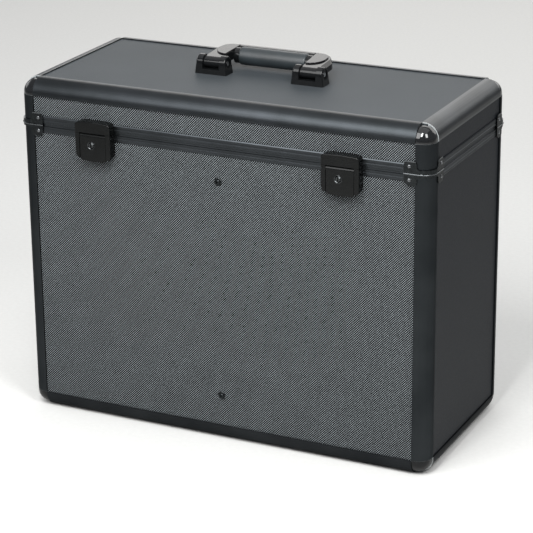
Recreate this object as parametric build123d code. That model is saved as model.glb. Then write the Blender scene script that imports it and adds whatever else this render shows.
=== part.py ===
from build123d import *
import math
import os

os.makedirs("parts", exist_ok=True)

# A lighting flight case: framed panels, a hinged lid with a folding handle, two key latches.
# Millimetres. X runs left to right, Y from front to back, Z up.
# The origin is the middle of the underside, and the case stands on z = 0.
case_width = 530.0
case_depth = 239.0
case_height = 423.0
lid_height = 54.0

# Wall panels, laminated plywood held in the slots of the edge extrusions.
panel_thickness = 5.0
panel_recess = 1.5
panel_end_gap = 0.5

# Quarter-round edge extrusions.
edge_width = 20.0
edge_radius = 18.0
edge_wall = 1.4
slot_depth = 7.0
inner_lip = 1.2

# Moulded ball corners.
cap_side_inset = 0.8
cap_end_inset = 2.6
cap_leg_length = 12.0
cap_leg_gap = 0.15

# Rims, the two frames that meet at the parting line. Heights count from that line.
rim_height = 10.5
rim_band_height = 2.1
rim_band_depth = 1.0
rim_edge_slope = 0.5
rim_groove_height = 5.5
rim_groove_width = 1.4
rim_groove_depth = 0.35
rim_top_slope = 1.3
rim_slot_floor = 5.0
parting_gap = 0.15

# Tongue on the body rim and groove in the lid rim.
tongue_near = 2.6
tongue_far = 5.0
tongue_taper = 0.6
tongue_height = 2.6
groove_gap = 0.3
groove_extra_depth = 0.6
tongue_end_gap = 1.0

# Corner brackets that tie the rims together.
bracket_leg = 33.0
bracket_thickness = 1.2
bracket_corner_radius = 16.0
bracket_height = 14.5
bracket_low_height = 4.4
bracket_side_height = 10.3
bracket_chamfer = 4.0
bracket_leg_inner = 17.2
bracket_shoulder_radius = 4.6
bracket_hollow = 2.2
bead_proud = 0.8
bead_height = 1.5
bead_round = 0.6

# Rivets of the brackets.
rivet_from_corner = 26.5
rivet_from_parting = 8.0
rivet_head_radius = 2.1
rivet_head_height = 1.0
rivet_shank_radius = 1.2
rivet_tail_radius = 2.0
rivet_tail_height = 0.8
rivet_tail_taper = 0.8

# Divider in the middle, held by a domed screw and washer at four places.
divider_thickness = 9.0
divider_drop = 24.0
divider_gap = 0.2
divider_screw_low = 58.0
divider_screw_drop = 42.0
washer_radius = 4.6
washer_thickness = 0.7
washer_chamfer = 0.3
washer_hole_radius = 2.0
screw_head_radius = 3.3
screw_head_height = 2.3
divider_screw_radius = 1.9
divider_screw_length = 27.0

# Cross recess in the head of every screw.
recess_length = 3.4
recess_width = 0.9
recess_depth = 1.2

# Foam pads.
pad_thickness = 12.0
pad_gap = 0.5
pad_pocket_side_gap = 1.0
pad_pocket_end_gap = 0.5

# Hinges on the back.
hinge_offset = 159.0
hinge_width = 50.0
hinge_knuckles = 5
hinge_knuckle_gap = 0.3
hinge_leaf_thickness = 1.5
hinge_leaf_height = 30.0
hinge_corner_radius = 3.0
hinge_bend_gap = 0.3
hinge_bend_offset = 0.6
hinge_barrel_radius = 3.2
hinge_pin_radius = 1.5
hinge_bore_gap = 0.05
hinge_leaf_gap = 0.5
hinge_rivet_side = 7.0
hinge_rivet_end = 8.0
lid_open_angle = 95.0
stop_nose_length = 9.0
stop_nose_thickness = 2.4
stop_nose_gap = 0.2

# Latches on the front. "out" counts from the rims' face, "w" up from the parting line.
latch_offset = 159.0
latch_width = 46.8
latch_out = 11.0
latch_bottom = -31.8
latch_corner_radius = 6.0
latch_edge_round = 1.2
keeper_top = 13.6
keeper_arch = 1.3
keeper_corner = 4.0
keeper_wall = 1.6
cheek_width = 5.75
base_plate = 1.5
flap_gap = 0.4
flap_recess = 0.1
flap_thickness = 2.2
flap_bottom = -33.0
flap_bottom_bow = 1.8
flap_round = 0.7
lever_top_gap = 0.5
lever_barrel_radius = 3.7
latch_pin_radius = 1.25
latch_pin_gap = 0.05
latch_pin_end = 0.3
claw_width = 14.0
claw_back = 1.6
claw_front = 0.2
claw_root = 2.2
claw_nose = 0.95
claw_nose_gap = 0.15
claw_nose_height = 1.5
claw_window_gap = 1.0
claw_window_low = -12.5
keeper_lip_gap = 0.3
keeper_lip_height = 0.85
keeper_lip_width = 18.0
keeper_post_side = 6.5
keeper_post_radius = 3.0
keeper_post_w = 7.6
keeper_screw_radius = 1.4
keeper_screw_head = 2.8
keeper_screw_head_height = 1.6
keeper_screw_length = 14.0
latch_rim_gap = 0.1

# Key cylinders in the flaps.
key_x = -2.0
key_w = -14.8
key_radius = 4.2
key_fit = 0.05
key_flange_radius = 5.0
key_flange_thickness = 0.5
key_flange_round = 0.3
key_housing_radius = 6.0
key_housing_gap = 0.3
key_cam_gap = 1.0
key_cam_thickness = 1.5
key_cam_length = 11.5
key_cam_width = 3.2
key_groove_inner = 2.7
key_groove_outer = 4.3
key_groove_depth = 0.8
keyway_length = 5.0
keyway_width = 1.1
keyway_depth = 5.0
lug_reach = 6.0
lug_gap = 0.4
lug_thickness = 2.0
lug_half_height = 3.0
latch_rivet_side = 5.75
latch_rivet_w = -21.5
latch_rivet_radius = 1.5
latch_rivet_head = 2.5
latch_rivet_head_height = 0.9
latch_rivet_tail = 2.0

# Handle feet on the lid.
foot_offset = 63.3
foot_width = 42.0
foot_depth = 20.0
foot_y = 0.0
foot_top_radius = 9.0
foot_taper = 2.6
foot_round = 1.6
foot_pocket_radius = 6.3
foot_pocket_depth = 0.6
foot_slot_width = 22.0
foot_sill = 6.0
pin_height = 13.0
handle_pin_radius = 2.5
handle_pin_end = 2.0
handle_pin_gap = 0.05
foot_screw_radius = 1.8
foot_screw_head = 3.6
foot_screw_head_height = 2.0
foot_screw_length = 13.0

# Handle, drawn lying straight back from its pins, then tilted to its rest angle.
handle_tilt = 4.0
barrel_radius = 6.7
barrel_side_gap = 0.2
grip_distance = 37.0
grip_rise = -1.3
grip_radius = 11.0
grip_end_gap = 6.0
grip_end_round = 2.0
collar_overlap = 0.9
collar_radius = 9.4
spine_distance = 5.5
spine_thickness = 7.0
spine_low = -7.0
spine_top = 8.6
spine_round = 1.5
spine_notch = 1.4
arm_low = -4.0
arm_skirt_height = 3.0
arm_strip_height = 7.0
arm_skirt_reach = 14.2
arm_skirt_run = 23.5
arm_strip_reach = 10.7
arm_strip_run = 16.5
arm_corner_reach = 0.72
arm_inner_step = 0.7
arm_inner_reach = 13.3
arm_shoulder = 6.0
arm_pad_inset = 3.4
arm_pad_front = 10.5
arm_pad_curve = 17.0
arm_pad_bulge = 0.33
arm_pad_corner = 13.0
arm_pad_back_gap = 0.4
arm_pad_front_gap = 0.2
arm_pad_height = 1.6
arm_pad_round = 0.5
heel_near = 3.0
heel_far = 9.0
heel_gap = 0.2

# How far a cutting shape runs past what it cuts, how deep joined shapes run into each other,
# how far a drill starts above a surface, the sides of a domed head, and the least length seen.
over = 1.0
weld = 0.5
drill_start = 3.0
dome_steps = 6
close = 0.01
arc_share = 1 - math.sqrt(0.5)

# Places worked out from the sizes above.
parting_height = case_height - lid_height
half_width = case_width / 2
half_depth = case_depth / 2
panel_edge = edge_width - slot_depth + panel_end_gap
panel_back = panel_recess + panel_thickness
inner_face = panel_back + inner_lip
rim_panel_edge = rim_slot_floor + panel_end_gap
front_face = -half_depth
top_face = case_height - panel_recess
pin_z = top_face + pin_height
divider_top = parting_height - divider_drop
divider_screw_heights = (divider_screw_low, parting_height - divider_screw_drop)
hinge_rivet_spread = hinge_width / 2 - hinge_rivet_side
hinge_rivet_height = hinge_leaf_height - hinge_rivet_end
lever_pivot_out = latch_out - flap_recess - lever_barrel_radius
lever_pivot_w = -lever_top_gap - lever_barrel_radius
claw_nose_low = keeper_lip_height + claw_nose_gap - lever_pivot_w
claw_top = claw_nose_low + claw_nose_height
keeper_post_offset = latch_width / 2 - keeper_post_side
latch_rivet_offset = latch_width / 2 - cheek_width - latch_rivet_side
key_cam_out = base_plate + key_cam_gap
key_housing_out = key_cam_out + key_cam_thickness + key_housing_gap
lug_out = key_cam_out + key_cam_thickness + lug_gap
foot_screw_offset = (foot_width + foot_slot_width) / 4
handle_pin_length = foot_width - 2 * handle_pin_end
spine_near = grip_distance + spine_distance
spine_far = spine_near + spine_thickness
arm_skirt_outer = foot_offset + arm_skirt_reach
arm_skirt_corner = spine_far - arm_skirt_run
arm_strip_outer = foot_offset + arm_strip_reach
arm_strip_corner = spine_far - arm_strip_run
arm_inner_front = foot_offset - foot_slot_width / 2 + arm_inner_step
arm_inner_back = foot_offset - arm_inner_reach
grip_half_length = arm_inner_back - grip_end_gap
collar_length = grip_end_gap + collar_overlap


def block(low, high):
    """A box between two opposite corners."""
    size = [high[i] - low[i] for i in range(3)]
    middle = [(high[i] + low[i]) / 2 for i in range(3)]
    return Pos(*middle) * Box(*size)


def outline(points):
    """A flat face with straight sides."""
    return make_face(Polyline(*points, close=True))


def prism_x(shape, low, high):
    """A shape drawn in (y, z), run along X."""
    return extrude(Plane.YZ.offset(low) * shape, amount=high - low)


def prism_y(shape, front, back):
    """A shape drawn in (x, z), run along Y."""
    return extrude(Plane.XZ.offset(-back) * shape, amount=back - front)


def rod(start, direction, radius, length):
    """A round bar from a point, in a direction."""
    return extrude(Plane(origin=start, z_dir=direction) * Circle(radius), amount=length)


def join(solids):
    """One shape from overlapping solids."""
    whole = solids[0]
    for piece in solids[1:]:
        whole = whole + piece
    return whole


def group(pieces):
    """Separate solids that share one node."""
    solids = [solid for piece in pieces for solid in piece.solids()]
    return Compound(children=solids)


def save(node, shape):
    export_step(shape, f"parts/{node}.step")


def cross_recess(head_height):
    """The cross slot in a screw head whose top is at a height."""
    low = head_height - recess_depth
    top = head_height + over
    half = recess_length / 2
    side = recess_width / 2
    return block((-half, -side, low), (half, side, top)) + block((-side, -half, low), (side, half, top))


def dome_profile(radius, height, shank_radius, length, tail_radius=0.0, tail_height=0.0):
    """Half section of a domed fastener: head above 0, shank below, and a tail if it has one."""
    points = [(0, height)]
    for step in range(1, dome_steps):
        angle = math.pi / 2 * step / dome_steps
        points.append((radius * math.sin(angle), height * math.cos(angle)))
    points += [(radius, 0), (shank_radius, 0), (shank_radius, -length)]
    if tail_height:
        points += [(tail_radius, -length), (tail_radius * rivet_tail_taper, -length - tail_height)]
        points.append((0, -length - tail_height))
    else:
        points.append((0, -length))
    return points


# Edge extrusions
def edge_profile():
    """Cross-section with the sharp corner at 0, 0 and the two walls along +x and +y."""
    square = Pos(edge_width / 2, edge_width / 2) * Rectangle(edge_width, edge_width)
    corner = square.vertices().sort_by(lambda vertex: vertex.X + vertex.Y)[0]
    profile = fillet(corner, edge_radius)
    slot_start = edge_width - slot_depth
    room = edge_width - inner_face
    slot_middle = panel_recess + panel_thickness / 2
    slot_along = slot_start + slot_depth / 2
    profile -= Pos(slot_along, slot_middle) * Rectangle(slot_depth, panel_thickness)
    profile -= Pos(slot_middle, slot_along) * Rectangle(panel_thickness, slot_depth)
    profile -= Pos(inner_face + room / 2, inner_face + room / 2) * Rectangle(room, room)
    return profile - edge_hollow(0)


def edge_hollow(gap):
    """The hollow behind the quarter round, smaller by a gap for the legs that fit it."""
    far = edge_width - slot_depth - edge_wall - gap
    disc = Pos(edge_radius, edge_radius) * Circle(edge_radius - edge_wall - gap)
    window = Pos(far / 2, far / 2) * Rectangle(far, far)
    core_start = panel_back - gap
    core = far - core_start
    corner = Pos(core_start + core / 2, core_start + core / 2) * Rectangle(core, core)
    return (disc & window) - corner


def edge_bar(profile, corner, inward_a, inward_b, length):
    """A length of extrusion centred on a point of the case's sharp edge."""
    run = Vector(*inward_a).cross(Vector(*inward_b))
    start = Vector(*corner) - run * (length / 2)
    return extrude(Plane(origin=start, x_dir=inward_a, z_dir=run) * profile, amount=length)


def make_edges(profile):
    long_run = case_width - 2 * edge_width
    short_run = case_depth - 2 * edge_width
    for level, inward, name in ((0, 1, "bottom"), (case_height, -1, "lid")):
        up = (0, 0, inward)
        long_bars = [
            edge_bar(profile, (0, side * half_depth, level), (0, -side, 0), up, long_run)
            for side in (-1, 1)
        ]
        short_bars = [
            edge_bar(profile, (side * half_width, 0, level), (-side, 0, 0), up, short_run)
            for side in (-1, 1)
        ]
        save(f"{name}_edges_long", group(long_bars))
        save(f"{name}_edges_short", group(short_bars))
    spans = (
        ("body_corner_edges", edge_width, parting_height - parting_gap),
        ("lid_corner_edges", parting_height + parting_gap, case_height - edge_width),
    )
    for name, low, high in spans:
        bars = [
            edge_bar(
                profile,
                (x * half_width, y * half_depth, (low + high) / 2),
                (-x, 0, 0),
                (0, -y, 0),
                high - low,
            )
            for x in (-1, 1)
            for y in (-1, 1)
        ]
        save(name, group(bars))


# Ball corners
def corner_cap():
    """One corner, its sharp point at 0, 0, 0, with a leg for each extrusion that meets it."""
    low = (cap_side_inset, cap_side_inset, cap_end_inset)
    body = block(low, (edge_width,) * 3)
    near = [
        edge
        for edge in body.edges()
        if sum(abs(place - inset) < close for place, inset in zip(tuple(edge.center()), low)) == 2
    ]
    body = fillet(near, edge_radius - cap_end_inset)
    body -= block((inner_face,) * 3, (edge_width + over,) * 3)
    leg = edge_hollow(cap_leg_gap)
    start = edge_radius - cap_end_inset
    for plane in (Plane.XY, Plane.YZ, Plane.ZX):
        body += extrude(plane.offset(start) * leg, amount=edge_width + cap_leg_length - start)
    return body


def corner_place(corner, a, b, c):
    """The placing that turns a corner piece drawn at 0, 0, 0 to face inward along a, b and c."""
    if Vector(*a).cross(Vector(*b)).dot(Vector(*c)) < 0:
        a, b = b, a
    return Plane(origin=corner, x_dir=a, z_dir=c).location


def make_caps():
    cap = corner_cap()
    for name, level, up in (("bottom_corner_caps", 0, 1), ("lid_corner_caps", case_height, -1)):
        caps = [
            corner_place(
                (x * half_width, y * half_depth, level), (-x, 0, 0), (0, -y, 0), (0, 0, up)
            )
            * cap
            for x in (-1, 1)
            for y in (-1, 1)
        ]
        save(name, group(caps))


# Rims
def rim_profile(male):
    """Cross-section in (depth from the outer face, height from the parting line)."""
    groove_low = rim_groove_height - rim_groove_width / 2
    groove_high = rim_groove_height + rim_groove_width / 2
    slope = rim_groove_depth
    points = [
        (rim_band_depth, parting_gap),
        (rim_band_depth, rim_band_height),
        (0, rim_band_height + rim_edge_slope),
        (0, groove_low - slope),
        (rim_groove_depth, groove_low),
        (rim_groove_depth, groove_high),
        (0, groove_high + slope),
        (0, rim_height - rim_top_slope),
        (rim_top_slope / 2, rim_height),
        (panel_recess, rim_height),
        (panel_recess, rim_slot_floor),
        (panel_back, rim_slot_floor),
        (panel_back, rim_height),
        (inner_face, rim_height),
        (inner_face, 0),
    ]
    if male:
        points += [
            (tongue_far, 0),
            (tongue_far - tongue_taper, -tongue_height),
            (tongue_near + tongue_taper, -tongue_height),
            (tongue_near, 0),
            (tongue_near, parting_gap),
        ]
    else:
        depth = tongue_height + groove_extra_depth
        points += [
            (tongue_far + groove_gap, 0),
            (tongue_far + groove_gap, depth),
            (tongue_near - groove_gap, depth),
            (tongue_near - groove_gap, parting_gap),
        ]
    return outline(points)


def rim_bars(up, side_names):
    """The four straight rims above (up = 1) or below (up = -1) the parting line."""
    profile = rim_profile(male=up < 0)
    bars = {}
    for name in side_names:
        along_x = name in ("front", "back")
        side = 1 if name in ("back", "right") else -1
        half = (half_width if along_x else half_depth) - edge_width
        inward = (0, -side, 0) if along_x else (-side, 0, 0)
        corner = (0, side * half_depth, 0) if along_x else (side * half_width, 0, 0)
        run = Vector(*inward).cross(Vector(0, 0, up))
        start = Vector(*corner) + Vector(0, 0, parting_height) - run * half
        bar = extrude(Plane(origin=start, x_dir=inward, z_dir=run) * profile, amount=2 * half)
        if up < 0:
            bar -= tongue_end_cuts(start, run, inward, half)
        bars[name] = bar
    return bars


def tongue_end_cuts(start, run, inward, half):
    """Shortens the tongue at both ends, clear of the lid's corner extrusions."""
    cuts = []
    for end in (0, 2 * half - tongue_end_gap):
        plane = Plane(origin=Vector(*start) + run * end, x_dir=inward, z_dir=run)
        middle = (tongue_near + tongue_far) / 2
        width = tongue_far - tongue_near + 2 * groove_gap
        height = tongue_height + over
        shape = Pos(middle, -height / 2) * Rectangle(width, height)
        cuts.append(extrude(plane * shape, amount=tongue_end_gap))
    return join(cuts)


# Rivets and screws, and the holes they need
def bracket_rivet_places(up):
    """Start point and outward direction of each bracket rivet on the lid (1) or body (-1)."""
    z = parting_height + up * rivet_from_parting
    places = []
    for x in (-1, 1):
        for y in (-1, 1):
            near_x = x * (half_width - rivet_from_corner)
            near_y = y * (half_depth - rivet_from_corner)
            places.append(((near_x, y * (half_depth + bracket_thickness), z), (0, y, 0)))
            places.append(((x * (half_width + bracket_thickness), near_y, z), (x, 0, 0)))
    return places


def latch_rivet_places():
    y = front_face - base_plate
    z = parting_height + latch_rivet_w
    return [
        ((side * latch_offset + offset, y, z), (0, -1, 0))
        for side in (-1, 1)
        for offset in (-latch_rivet_offset, latch_rivet_offset)
    ]


def keeper_screw_places():
    y = front_face + inner_face
    z = parting_height + keeper_post_w
    return [
        ((side * latch_offset + offset, y, z), (0, 1, 0))
        for side in (-1, 1)
        for offset in (-keeper_post_offset, keeper_post_offset)
    ]


def hinge_rivet_places(up):
    z = parting_height + up * hinge_rivet_height
    spread = (-hinge_rivet_spread, 0, hinge_rivet_spread)
    return [
        ((side * hinge_offset + offset, half_depth, z), (0, 1, 0))
        for side in (-1, 1)
        for offset in spread
    ]


def divider_screw_places():
    return [
        ((0, side * (half_depth - panel_recess + washer_thickness), z), (0, side, 0))
        for side in (-1, 1)
        for z in divider_screw_heights
    ]


def foot_screw_places():
    z = top_face - panel_thickness
    return [
        ((side * foot_offset + offset, foot_y, z), (0, 0, -1))
        for side in (-1, 1)
        for offset in (-foot_screw_offset, foot_screw_offset)
    ]


def drill(places, radius, depth):
    """The holes for fasteners that go in at each place, against its outward direction."""
    holes = []
    for start, outward in places:
        into = Vector(*outward) * -1
        holes.append(rod(Vector(*start) - into * drill_start, into, radius, depth + drill_start))
    return join(holes)


def fasteners(places, points, recess=None):
    """A turned fastener at each place, from its half section of (radius, height) points."""
    piece = revolve(Plane.XZ * outline(points), Axis.Z)
    if recess:
        piece -= recess
    return group([
        Plane(origin=start, z_dir=outward).location * piece for start, outward in places
    ])


def make_fasteners():
    rivet_run = bracket_thickness + inner_face
    bracket_rivet = dome_profile(
        rivet_head_radius, rivet_head_height, rivet_shank_radius, rivet_run,
        rivet_tail_radius, rivet_tail_height,
    )
    save("body_bracket_rivets", fasteners(bracket_rivet_places(-1), bracket_rivet))
    save("lid_bracket_rivets", fasteners(bracket_rivet_places(1), bracket_rivet))
    latch_rivet = dome_profile(
        latch_rivet_head, latch_rivet_head_height, latch_rivet_radius, base_plate + panel_back,
        latch_rivet_tail, rivet_tail_height,
    )
    save("latch_rivets", fasteners(latch_rivet_places(), latch_rivet))
    hinge_rivet = dome_profile(
        latch_rivet_head, rivet_head_height, latch_rivet_radius, panel_back,
        latch_rivet_tail, rivet_tail_height,
    )
    save("hinge_body_rivets", fasteners(hinge_rivet_places(-1), hinge_rivet))
    save("hinge_lid_rivets", fasteners(hinge_rivet_places(1), hinge_rivet))
    keeper_screw = dome_profile(
        keeper_screw_head, keeper_screw_head_height, keeper_screw_radius, keeper_screw_length
    )
    recess = cross_recess(keeper_screw_head_height)
    save("keeper_screws", fasteners(keeper_screw_places(), keeper_screw, recess))
    foot_screw = dome_profile(
        foot_screw_head, foot_screw_head_height, foot_screw_radius, foot_screw_length
    )
    recess = cross_recess(foot_screw_head_height)
    save("handle_screws", fasteners(foot_screw_places(), foot_screw, recess))
    divider_screw = dome_profile(
        screw_head_radius, screw_head_height, divider_screw_radius, divider_screw_length
    )
    recess = cross_recess(screw_head_height)
    save("divider_screws", fasteners(divider_screw_places(), divider_screw, recess))
    washer = [
        (washer_hole_radius, 0),
        (washer_radius - washer_chamfer, 0),
        (washer_radius, -washer_chamfer),
        (washer_radius, -washer_thickness),
        (washer_hole_radius, -washer_thickness),
    ]
    save("divider_washers", fasteners(divider_screw_places(), washer))


# Panels and rims with their holes
def notched(x0, x1, y0, y1, corners):
    """A rectangle with a square notch at the chosen corners, as (x sign, y sign) pairs."""
    shape = Pos((x0 + x1) / 2, (y0 + y1) / 2) * Rectangle(x1 - x0, y1 - y0)
    notch = edge_width - panel_edge + cap_leg_gap
    for x, y in corners:
        middle_x = (x1 if x > 0 else x0) - x * notch / 2
        middle_y = (y1 if y > 0 else y0) - y * notch / 2
        shape -= Pos(middle_x, middle_y) * Rectangle(notch, notch)
    return shape


def wall_panels(low, high, notch_side):
    """Front, back, left and right panels between two heights, notched at one end for the caps."""
    corners = [(-1, notch_side), (1, notch_side)]
    reach_x = half_width - panel_edge
    reach_y = half_depth - panel_edge
    wide = notched(-reach_x, reach_x, low, high, corners)
    narrow = notched(-reach_y, reach_y, low, high, corners)
    near_y = half_depth - panel_back
    far_y = half_depth - panel_recess
    near_x = half_width - panel_back
    far_x = half_width - panel_recess
    return {
        "front": prism_y(wide, -far_y, -near_y),
        "back": prism_y(wide, near_y, far_y),
        "left": prism_x(narrow, -far_x, -near_x),
        "right": prism_x(narrow, near_x, far_x),
    }


def flat_panel(z0, z1):
    corners = [(x, y) for x in (-1, 1) for y in (-1, 1)]
    reach_x = half_width - panel_edge
    reach_y = half_depth - panel_edge
    shape = notched(-reach_x, reach_x, -reach_y, reach_y, corners)
    return extrude(Plane.XY.offset(z0) * shape, amount=z1 - z0)


def make_walls():
    sides = ("front", "back", "left", "right")
    through = panel_back + 2 * bracket_thickness + 2 * rivet_tail_height
    body_holes = join([
        drill(bracket_rivet_places(-1), rivet_shank_radius, through),
        drill(latch_rivet_places(), latch_rivet_radius, through),
        drill(hinge_rivet_places(-1), latch_rivet_radius, through),
        drill(divider_screw_places(), divider_screw_radius, through),
    ])
    lid_holes = join([
        drill(bracket_rivet_places(1), rivet_shank_radius, through),
        drill(hinge_rivet_places(1), latch_rivet_radius, through),
        drill(keeper_screw_places(), keeper_screw_radius, keeper_screw_length),
    ])
    body_walls = wall_panels(panel_edge, parting_height - rim_panel_edge, -1)
    lid_walls = wall_panels(parting_height + rim_panel_edge, case_height - panel_edge, 1)
    body_rims = rim_bars(-1, sides)
    lid_rims = rim_bars(1, sides)
    for side in sides:
        save(f"body_panel_{side}", body_walls[side] - body_holes)
        save(f"lid_panel_{side}", lid_walls[side] - lid_holes)
    for name, rims, holes in (("body", body_rims, body_holes), ("lid", lid_rims, lid_holes)):
        save(f"{name}_rims_long", group([rims[side] - holes for side in ("front", "back")]))
        save(f"{name}_rims_short", group([rims[side] - holes for side in ("left", "right")]))
    save("bottom_panel", flat_panel(panel_recess, panel_back))
    screw_holes = drill(foot_screw_places(), foot_screw_radius, foot_screw_length)
    top = flat_panel(case_height - panel_back, case_height - panel_recess)
    save("lid_panel_top", top - screw_holes)


# Corner brackets, drawn with the case's sharp corner at 0, 0 and height from the parting line
def bracket_band(proud, height_low, height_high):
    """An L in plan, wrapped round the corner outside the quarter round."""
    size = bracket_leg + proud
    outer = Pos(size / 2 - proud, size / 2 - proud) * Rectangle(size, size)
    outer_corner = outer.vertices().sort_by(lambda vertex: vertex.X + vertex.Y)[0]
    outer = fillet(outer_corner, bracket_corner_radius + proud)
    reach = 2 * bracket_leg
    case = Pos(reach / 2, reach / 2) * Rectangle(reach, reach)
    case_corner = case.vertices().sort_by(lambda vertex: vertex.X + vertex.Y)[0]
    case = fillet(case_corner, edge_radius)
    return extrude(Plane.XY.offset(height_low) * (outer - case), amount=height_high - height_low)


def bracket(with_bead):
    band = bracket_band(bracket_thickness, parting_gap, bracket_height)
    low_band = bracket_band(bracket_thickness, parting_gap, bracket_low_height)
    leg_outline = outline([
        (bracket_leg, 0),
        (bracket_leg, bracket_side_height),
        (bracket_leg - bracket_chamfer, bracket_height),
        (bracket_leg_inner, bracket_height),
        (bracket_leg_inner, bracket_low_height + bracket_hollow),
        (bracket_leg_inner - bracket_hollow, bracket_low_height),
        (bracket_leg_inner - bracket_hollow, 0),
    ])
    shoulder = [
        corner
        for corner in leg_outline.vertices()
        if abs(corner.X - bracket_leg_inner) < close and abs(corner.Y - bracket_height) < close
    ]
    leg_outline = fillet(shoulder, bracket_shoulder_radius)
    thick = bracket_thickness + over
    leg_on_x = band & prism_y(leg_outline, -thick, 0)
    leg_on_y = band & prism_x(leg_outline, -thick, 0)
    piece = low_band + leg_on_x + leg_on_y
    if with_bead:
        proud = bracket_thickness + bead_proud
        bead = bracket_band(proud, parting_gap, parting_gap + bead_height)
        rim = [
            edge
            for edge in bead.edges()
            if edge.bounding_box().size.Z < close and is_outer_edge(edge, proud)
        ]
        piece += fillet(rim, bead_round)
    return piece


def is_outer_edge(edge, proud):
    """Whether an edge runs along the outside face of a bracket band."""
    middle = edge @ 0.5
    on_face = min(middle.X, middle.Y) < -proud + close
    on_corner = edge.geom_type == GeomType.CIRCLE and middle.X < edge_radius * arc_share - close
    return on_face or on_corner


def make_brackets():
    for name, up, shape in (("lid", 1, bracket(False)), ("body", -1, bracket(True))):
        places = bracket_rivet_places(up)
        holes = drill(places, rivet_shank_radius, 2 * bracket_thickness)
        pieces = []
        for x in (-1, 1):
            for y in (-1, 1):
                corner = (x * half_width, y * half_depth, parting_height)
                place = corner_place(corner, (-x, 0, 0), (0, -y, 0), (0, 0, up))
                pieces.append(place * shape - holes)
        save(f"{name}_rim_brackets", group(pieces))


# Inside: divider and foam pads
def make_inside():
    low = inner_face
    narrow = half_depth - inner_face - divider_gap
    wide = half_depth - panel_back
    shoulder = edge_width + divider_gap
    half = [(narrow, low), (narrow, shoulder), (wide, shoulder), (wide, divider_top)]
    points = half + [(-y, z) for y, z in reversed(half)]
    board = prism_x(outline(points), -divider_thickness / 2, divider_thickness / 2)
    top_corners = board.edges().filter_by(Axis.X).group_by(Axis.Z)[-1]
    board = fillet(top_corners, edge_width)
    board -= drill(divider_screw_places(), divider_screw_radius, divider_screw_length)
    save("divider_panel", board)
    inner_x = half_width - inner_face - pad_gap
    inner_y = half_depth - inner_face - pad_gap
    near_x = divider_thickness / 2 + pad_gap
    top = inner_face + pad_thickness
    save("floor_pad_right", block((near_x, -inner_y, inner_face), (inner_x, inner_y, top)))
    save("floor_pad_left", block((-inner_x, -inner_y, inner_face), (-near_x, inner_y, top)))
    pad_x = half_width - edge_width - pad_gap
    pad_y = half_depth - edge_width - pad_gap
    pad_top = case_height - panel_back
    pad = block((-pad_x, -pad_y, pad_top - pad_thickness), (pad_x, pad_y, pad_top))
    pocket_depth = over + foot_screw_head_height + pad_pocket_end_gap
    pockets = [
        rod((x, y, pad_top + over), (0, 0, -1), foot_screw_head + pad_pocket_side_gap, pocket_depth)
        for (x, y, z), outward in foot_screw_places()
    ]
    save("lid_pad", pad - join(pockets))


# Hinges, drawn in (out from the back face, height from the parting line)
def hinge_leaf(up):
    """One leaf with its knuckles. The lower leaf has the outer knuckles, the upper the rest."""
    t = hinge_leaf_thickness
    bend = rim_height + hinge_bend_gap
    plate = outline([
        (0, 0),
        (t, 0),
        (t, up * (bend + hinge_bend_offset)),
        (t - panel_recess, up * (bend + hinge_bend_offset + panel_recess)),
        (t - panel_recess, up * hinge_leaf_height),
        (-panel_recess, up * hinge_leaf_height),
        (-panel_recess, up * (bend + panel_recess)),
        (0, up * bend),
    ])
    leaf = prism_x(plate, -hinge_width / 2, hinge_width / 2)
    leaf_corners = leaf.edges().filter_by(Axis.Y).group_by(Axis.Z)[-1 if up > 0 else 0]
    leaf = fillet(leaf_corners, hinge_corner_radius)
    step = hinge_width / hinge_knuckles
    own = [i for i in range(hinge_knuckles) if (i % 2 == 0) == (up < 0)]
    reach = hinge_barrel_radius + hinge_leaf_gap
    clear = hinge_knuckle_gap / 2
    for i in range(hinge_knuckles):
        x0 = -hinge_width / 2 + i * step
        x1 = x0 + step
        if i in own:
            x0 += 0 if i == 0 else clear
            x1 -= 0 if i == hinge_knuckles - 1 else clear
            leaf += rod((x0, hinge_barrel_radius, 0), (1, 0, 0), hinge_barrel_radius, x1 - x0)
            if up > 0:
                leaf += stop_nose(x0, x1)
        else:
            x0 -= 0 if i == 0 else clear
            x1 += 0 if i == hinge_knuckles - 1 else clear
            leaf -= block((x0, -over, -reach), (x1, 2 * reach, reach))
    bore = hinge_pin_radius + hinge_bore_gap
    leaf -= rod((-hinge_width, hinge_barrel_radius, 0), (1, 0, 0), bore, 2 * hinge_width)
    return leaf


def stop_nose(x0, x1):
    """A bar on an upper knuckle that meets the lower leaf when the lid is fully open."""
    near = hinge_leaf_thickness - hinge_barrel_radius + stop_nose_gap
    bar = block((x0, near, -stop_nose_length), (x1, near + stop_nose_thickness, 0))
    return Pos(0, hinge_barrel_radius, 0) * Rot(lid_open_angle, 0, 0) * bar


def make_hinges():
    holes = {up: drill(hinge_rivet_places(up), latch_rivet_radius, panel_back) for up in (-1, 1)}
    for name, up in (("hinge_lower_leaves", -1), ("hinge_upper_leaves", 1)):
        leaf = hinge_leaf(up)
        leaves = [
            Pos(side * hinge_offset, half_depth, parting_height) * leaf - holes[up]
            for side in (-1, 1)
        ]
        save(name, group(leaves))
    pin_y = half_depth + hinge_barrel_radius
    pins = [
        rod(
            (side * hinge_offset - hinge_width / 2, pin_y, parting_height),
            (1, 0, 0),
            hinge_pin_radius,
            hinge_width,
        )
        for side in (-1, 1)
    ]
    save("hinge_pins", group(pins))


# Latches, drawn at x = 0 and then set to each side
def latch_block(x0, x1, out0, out1, w0, w1):
    return block(
        (x0, front_face - out1, parting_height + w0), (x1, front_face - out0, parting_height + w1)
    )


def latch_rod(x, out, w, direction, radius, length):
    return rod((x, front_face - out, parting_height + w), direction, radius, length)


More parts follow.
